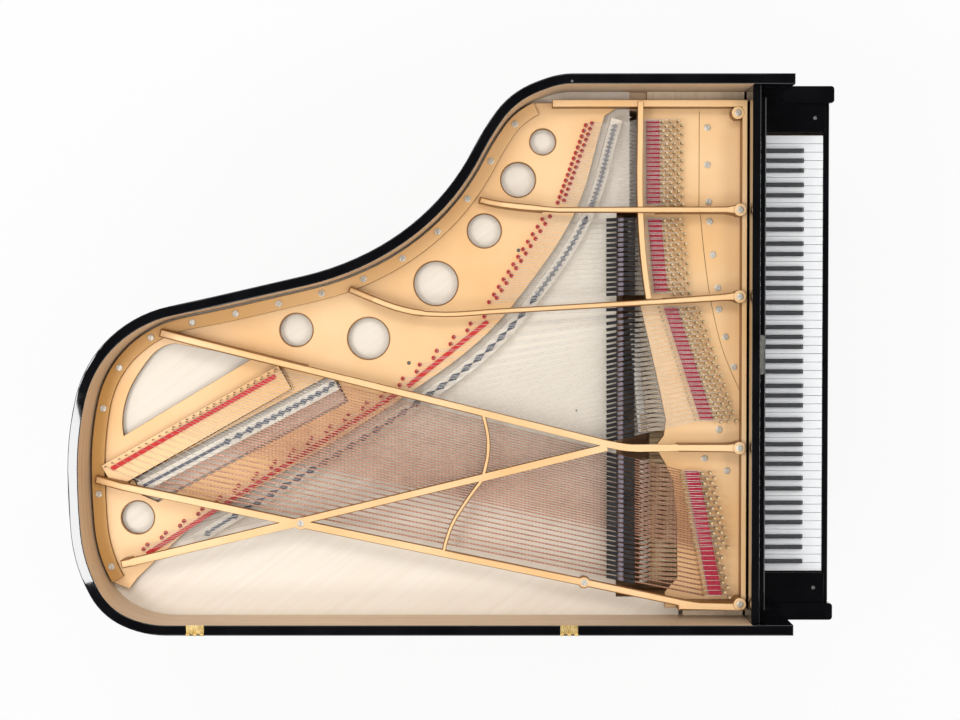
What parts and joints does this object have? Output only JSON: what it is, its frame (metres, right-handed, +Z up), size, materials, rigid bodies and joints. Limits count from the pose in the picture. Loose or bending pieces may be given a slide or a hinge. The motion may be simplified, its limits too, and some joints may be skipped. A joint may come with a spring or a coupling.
{
  "type": "grand piano",
  "caption": "Black grand piano, lid and music desk off, with a curved rim, gilt iron plate, strings, keyboard, action, pedals, folding fallboard and legs on swivel casters.",
  "frame": {"origin": "on the floor under the middle of the bounding box", "axes": "+Z up, keyboard towards -Y, tail towards +Y, bass towards -X, treble towards +X"},
  "size_m": [1.49, 2.08, 1.0117],
  "materials": {
    "black_lacquer": "black high gloss lacquer",
    "rim_wood": "satin hardwood",
    "spruce": "satin varnished spruce",
    "bridge_maple": "satin maple",
    "gilt_iron": "gold lacquered casting",
    "gilt_steel": "gold lacquered steel",
    "polished_brass": "polished brass",
    "string_steel": "bright steel",
    "copper_winding": "copper winding",
    "red_felt": "red woven felt",
    "white_key": "white gloss",
    "black_key": "satin black",
    "hammer_wood": "felt on wood",
    "damper_black": "black lacquered block"
  },
  "bodies": {
    "case": {"rim_outer": "black_lacquer", "rim_inner": "rim_wood", "belly_rail": "rim_wood", "back_braces": "rim_wood", "keybed": "rim_wood", "key_slip": "black_lacquer", "key_blocks": "black_lacquer", "stretcher": "black_lacquer", "leg_bass": "black_lacquer", "leg_treble": "black_lacquer", "leg_tail": "black_lacquer", "pedal_lyre": "black_lacquer", "lyre_braces": "polished_brass", "lid_hinges": "polished_brass", "soundboard": "spruce", "soundboard_ribs": "spruce", "treble_bridge": "bridge_maple", "bass_bridge": "bridge_maple", "iron_plate": "gilt_iron", "plate_bolts": "gilt_steel", "pin_block": "rim_wood", "tuning_pins": "string_steel", "hitch_pins": "string_steel", "agraffes": "polished_brass", "plain_strings": "string_steel", "wound_strings": "copper_winding", "string_felts": "red_felt"},
    "caster_bass": {"caster_fork_bass": "polished_brass"},
    "wheel_bass": {"caster_wheel_bass": "polished_brass"},
    "caster_treble": {"caster_fork_treble": "polished_brass"},
    "wheel_treble": {"caster_wheel_treble": "polished_brass"},
    "caster_tail": {"caster_fork_tail": "polished_brass"},
    "wheel_tail": {"caster_wheel_tail": "polished_brass"},
    "fallboard": {"fallboard": "black_lacquer", "fallboard_lock": "polished_brass"},
    "pedal_left": {"pedal_left": "polished_brass"},
    "pedal_rod_left": {"pedal_rod_left": "polished_brass"},
    "trap_lever_left": {"trap_lever_left": "rim_wood"},
    "pedal_middle": {"pedal_middle": "polished_brass"},
    "pedal_rod_middle": {"pedal_rod_middle": "polished_brass"},
    "trap_lever_middle": {"trap_lever_middle": "rim_wood"},
    "pedal_right": {"pedal_right": "polished_brass"},
    "pedal_rod_right": {"pedal_rod_right": "polished_brass"},
    "trap_lever_right": {"trap_lever_right": "rim_wood"},
    "key_frame": {"key_frame": "rim_wood", "action_rack": "rim_wood"},
    "damper_tray": {"damper_tray": "rim_wood"},
    "sostenuto_rod": {"sostenuto_rod": "polished_brass"},
    "naturals_bass": {"naturals_bass": "white_key"},
    "hammers_naturals_bass": {"hammers_naturals_bass": "hammer_wood"},
    "dampers_naturals_bass": {"dampers_naturals_bass": "damper_black"},
    "sharps_bass": {"sharps_bass": "black_key"},
    "hammers_sharps_bass": {"hammers_sharps_bass": "hammer_wood"},
    "dampers_sharps_bass": {"dampers_sharps_bass": "damper_black"},
    "naturals_treble": {"naturals_treble": "white_key"},
    "hammers_naturals_treble": {"hammers_naturals_treble": "hammer_wood"},
    "dampers_naturals_treble": {"dampers_naturals_treble": "damper_black"},
    "sharps_treble": {"sharps_treble": "black_key"},
    "hammers_sharps_treble": {"hammers_sharps_treble": "hammer_wood"},
    "dampers_sharps_treble": {"dampers_sharps_treble": "damper_black"}
  },
  "joints": [
    {"name": "caster_bass_swivel", "type": "hinge", "parent": "case", "child": "caster_bass", "pos_m": [-0.59, -0.87, 0.08], "axis": [0, 0, 1], "continuous": true},
    {"name": "wheel_bass_spin", "type": "hinge", "parent": "caster_bass", "child": "wheel_bass", "pos_m": [-0.59, -0.848, 0.03], "axis": [1, 0, 0], "continuous": true},
    {"name": "caster_treble_swivel", "type": "hinge", "parent": "case", "child": "caster_treble", "pos_m": [0.59, -0.87, 0.08], "axis": [0, 0, 1], "continuous": true},
    {"name": "wheel_treble_spin", "type": "hinge", "parent": "caster_treble", "child": "wheel_treble", "pos_m": [0.59, -0.848, 0.03], "axis": [1, 0, 0], "continuous": true},
    {"name": "caster_tail_swivel", "type": "hinge", "parent": "case", "child": "caster_tail", "pos_m": [-0.25, 0.85, 0.08], "axis": [0, 0, 1], "continuous": true},
    {"name": "wheel_tail_spin", "type": "hinge", "parent": "caster_tail", "child": "wheel_tail", "pos_m": [-0.25, 0.872, 0.03], "axis": [1, 0, 0], "continuous": true},
    {"name": "fallboard_hinge", "type": "hinge", "parent": "case", "child": "fallboard", "pos_m": [0, -0.838, 0.77], "axis": [1, 0, 0], "range_deg": [0, 100]},
    {"name": "pedal_left_hinge", "type": "hinge", "parent": "case", "child": "pedal_left", "pos_m": [-0.062, -0.86, 0.095], "axis": [1, 0, 0], "range_deg": [0, 8], "stiffness_Nm_per_rad": 6, "springref_deg": -14.32},
    {"name": "pedal_rod_left_slide", "type": "slide", "parent": "case", "child": "pedal_rod_left", "axis": [0, 0, 1], "range_m": [0, 0.0065]},
    {"name": "trap_lever_left_hinge", "type": "hinge", "parent": "case", "child": "trap_lever_left", "pos_m": [-0.062, -0.575, 0.615], "axis": [-1, 0, 0], "range_deg": [0, 1.6]},
    {"name": "pedal_middle_hinge", "type": "hinge", "parent": "case", "child": "pedal_middle", "pos_m": [0, -0.86, 0.095], "axis": [1, 0, 0], "range_deg": [0, 8], "stiffness_Nm_per_rad": 6, "springref_deg": -14.32},
    {"name": "pedal_rod_middle_slide", "type": "slide", "parent": "case", "child": "pedal_rod_middle", "axis": [0, 0, 1], "range_m": [0, 0.0065]},
    {"name": "trap_lever_middle_hinge", "type": "hinge", "parent": "case", "child": "trap_lever_middle", "pos_m": [0, -0.575, 0.615], "axis": [-1, 0, 0], "range_deg": [0, 1.6]},
    {"name": "pedal_right_hinge", "type": "hinge", "parent": "case", "child": "pedal_right", "pos_m": [0.062, -0.86, 0.095], "axis": [1, 0, 0], "range_deg": [0, 8], "stiffness_Nm_per_rad": 6, "springref_deg": -14.32},
    {"name": "pedal_rod_right_slide", "type": "slide", "parent": "case", "child": "pedal_rod_right", "axis": [0, 0, 1], "range_m": [0, 0.0065]},
    {"name": "trap_lever_right_hinge", "type": "hinge", "parent": "case", "child": "trap_lever_right", "pos_m": [0.062, -0.575, 0.615], "axis": [-1, 0, 0], "range_deg": [0, 1.6]},
    {"name": "key_frame_shift", "type": "slide", "parent": "case", "child": "key_frame", "axis": [1, 0, 0], "range_m": [0, 0.003]},
    {"name": "damper_tray_lift", "type": "slide", "parent": "case", "child": "damper_tray", "axis": [0, 0, 1], "range_m": [0, 0.0045]},
    {"name": "sostenuto_rod_turn", "type": "hinge", "parent": "case", "child": "sostenuto_rod", "pos_m": [0, -0.422, 0.772], "axis": [1, 0, 0], "range_deg": [0, 35]},
    {"name": "naturals_bass_press", "type": "hinge", "parent": "key_frame", "child": "naturals_bass", "pos_m": [0, -0.784, 0.712], "axis": [1, 0, 0], "range_deg": [0, 2.5]},
    {"name": "hammers_naturals_bass_swing", "type": "hinge", "parent": "key_frame", "child": "hammers_naturals_bass", "pos_m": [0, -0.64, 0.812], "axis": [1, 0, 0], "range_deg": [0, 18]},
    {"name": "dampers_naturals_bass_lift", "type": "slide", "parent": "damper_tray", "child": "dampers_naturals_bass", "axis": [0, 0, 1], "range_m": [0, 0.004]},
    {"name": "sharps_bass_press", "type": "hinge", "parent": "key_frame", "child": "sharps_bass", "pos_m": [0, -0.784, 0.712], "axis": [1, 0, 0], "range_deg": [0, 2.5]},
    {"name": "hammers_sharps_bass_swing", "type": "hinge", "parent": "key_frame", "child": "hammers_sharps_bass", "pos_m": [0, -0.64, 0.812], "axis": [1, 0, 0], "range_deg": [0, 18]},
    {"name": "dampers_sharps_bass_lift", "type": "slide", "parent": "damper_tray", "child": "dampers_sharps_bass", "axis": [0, 0, 1], "range_m": [0, 0.004]},
    {"name": "naturals_treble_press", "type": "hinge", "parent": "key_frame", "child": "naturals_treble", "pos_m": [0, -0.784, 0.712], "axis": [1, 0, 0], "range_deg": [0, 2.5]},
    {"name": "hammers_naturals_treble_swing", "type": "hinge", "parent": "key_frame", "child": "hammers_naturals_treble", "pos_m": [0, -0.64, 0.812], "axis": [1, 0, 0], "range_deg": [0, 18]},
    {"name": "dampers_naturals_treble_lift", "type": "slide", "parent": "damper_tray", "child": "dampers_naturals_treble", "axis": [0, 0, 1], "range_m": [0, 0.004]},
    {"name": "sharps_treble_press", "type": "hinge", "parent": "key_frame", "child": "sharps_treble", "pos_m": [0, -0.784, 0.712], "axis": [1, 0, 0], "range_deg": [0, 2.5]},
    {"name": "hammers_sharps_treble_swing", "type": "hinge", "parent": "key_frame", "child": "hammers_sharps_treble", "pos_m": [0, -0.64, 0.812], "axis": [1, 0, 0], "range_deg": [0, 18]},
    {"name": "dampers_sharps_treble_lift", "type": "slide", "parent": "damper_tray", "child": "dampers_sharps_treble", "axis": [0, 0, 1], "range_m": [0, 0.004]}
  ],
  "couplings": [
    {"joint": "pedal_left_hinge", "follows": "key_frame_shift", "rad_per_m": 46.519},
    {"joint": "pedal_rod_left_slide", "follows": "key_frame_shift", "ratio": 2.0933},
    {"joint": "trap_lever_left_hinge", "follows": "key_frame_shift", "rad_per_m": 8.7223},
    {"joint": "pedal_rod_middle_slide", "follows": "pedal_middle_hinge", "m_per_rad": 0.045},
    {"joint": "trap_lever_middle_hinge", "follows": "pedal_middle_hinge", "ratio": 0.1875},
    {"joint": "pedal_rod_right_slide", "follows": "pedal_right_hinge", "m_per_rad": 0.045},
    {"joint": "trap_lever_right_hinge", "follows": "pedal_right_hinge", "ratio": 0.1875},
    {"joint": "damper_tray_lift", "follows": "pedal_right_hinge", "m_per_rad": 0.032086},
    {"joint": "sostenuto_rod_turn", "follows": "pedal_middle_hinge", "ratio": 4.3625},
    {"joint": "hammers_naturals_bass_swing", "follows": "naturals_bass_press", "ratio": 7.18},
    {"joint": "dampers_naturals_bass_lift", "follows": "naturals_bass_press", "m_per_rad": 0.091215},
    {"joint": "hammers_sharps_bass_swing", "follows": "sharps_bass_press", "ratio": 7.18},
    {"joint": "dampers_sharps_bass_lift", "follows": "sharps_bass_press", "m_per_rad": 0.091215},
    {"joint": "hammers_naturals_treble_swing", "follows": "naturals_treble_press", "ratio": 7.18},
    {"joint": "dampers_naturals_treble_lift", "follows": "naturals_treble_press", "m_per_rad": 0.091215},
    {"joint": "hammers_sharps_treble_swing", "follows": "sharps_treble_press", "ratio": 7.18},
    {"joint": "dampers_sharps_treble_lift", "follows": "sharps_treble_press", "m_per_rad": 0.091215}
  ]
}
